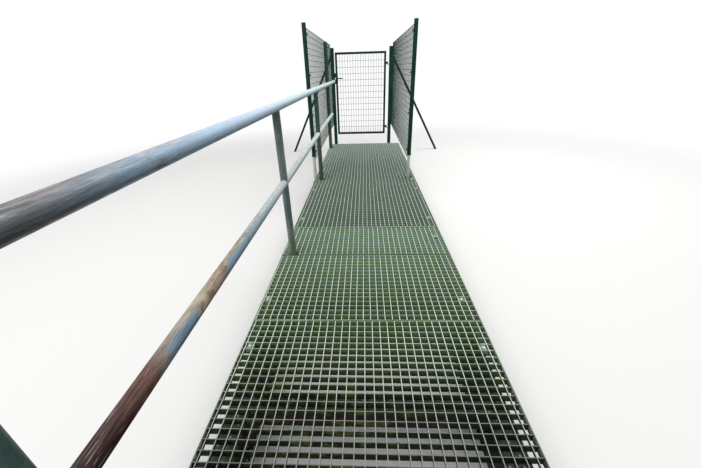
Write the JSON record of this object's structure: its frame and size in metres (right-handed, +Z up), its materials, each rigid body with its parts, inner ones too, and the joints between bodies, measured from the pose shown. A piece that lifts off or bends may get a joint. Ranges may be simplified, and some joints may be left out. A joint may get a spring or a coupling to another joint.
{
  "type": "grating footbridge with one-sided tube handrail and mesh gate",
  "caption": "Galvanised grating footbridge with a tube handrail on the left, mesh wing fences near the far end and a swinging framed mesh gate with a lever lock.",
  "frame": {"origin": "On the level of the beam undersides and post feet, in the middle of the whole outline seen from above", "axes": "+X to the right across the bridge seen from the near end, +Y along the bridge towards the gate, +Z up"},
  "size_m": [2.438, 5.473, 1.615],
  "materials": {
    "beam_steel": "old dull zinc with lichen spots and rusty edges",
    "grating": "weathered zinc, pale on the worn tops and mossy green on the bar faces",
    "post_zinc": "dull galvanised, grey-green",
    "rail_paint": "old blue-grey coat worn through to brown rust in lengthwise streaks",
    "green_coat": "dark green satin powder coat",
    "green_wire": "dark green coated wire",
    "lock_metal": "dark satin metal"
  },
  "bodies": {
    "bridge": {"main_beam_left": "beam_steel", "main_beam_right": "beam_steel", "crossbeams": "beam_steel", "outrigger_wing": "beam_steel", "outrigger_tall_post": "beam_steel", "grating_1": "grating", "grating_2_near": "grating", "grating_2_far": "grating", "grating_3": "grating", "grating_4": "grating", "grating_5": "grating", "rail_post_near": "post_zinc", "rail_post_middle": "post_zinc", "rail_post_far": "post_zinc", "tall_post": "post_zinc", "top_rail": "rail_paint", "mid_rail_near": "rail_paint", "mid_rail_middle": "rail_paint", "mid_rail_far": "rail_paint", "stub_left": "post_zinc", "stub_right": "post_zinc", "wing_post_left": "green_coat", "wing_post_right": "green_coat", "wing_mesh_right": "green_wire", "wing_mesh_left": "green_wire", "wing_mesh_left_end": "green_wire", "gate_post_left": "green_coat", "gate_post_right": "green_coat", "strut_left": "green_coat", "strut_right": "green_coat", "hinge_pin_upper": "lock_metal", "hinge_pin_lower": "lock_metal", "gate_keeper": "green_coat"},
    "gate_leaf": {"leaf_hinge_stile": "green_coat", "leaf_lock_stile": "green_coat", "leaf_top_bar": "green_coat", "leaf_bottom_bar": "green_coat", "leaf_mesh": "green_wire", "hinge_strap_upper": "lock_metal", "hinge_strap_lower": "lock_metal", "lock_covers": "green_coat"},
    "lever": {"lock_lever": "lock_metal"}
  },
  "joints": [
    {"name": "gate_swing", "type": "hinge", "parent": "bridge", "child": "gate_leaf", "pos_m": [0.36, 2.6815, 0.77], "axis": [0, 0, -1], "range_deg": [0, 95]},
    {"name": "lever_turn", "type": "hinge", "parent": "gate_leaf", "child": "lever", "pos_m": [-0.423, 2.6635, 1.115], "axis": [0, 1, 0], "range_deg": [0, 38], "stiffness_Nm_per_rad": 0.9, "springref_deg": -12.03}
  ]
}
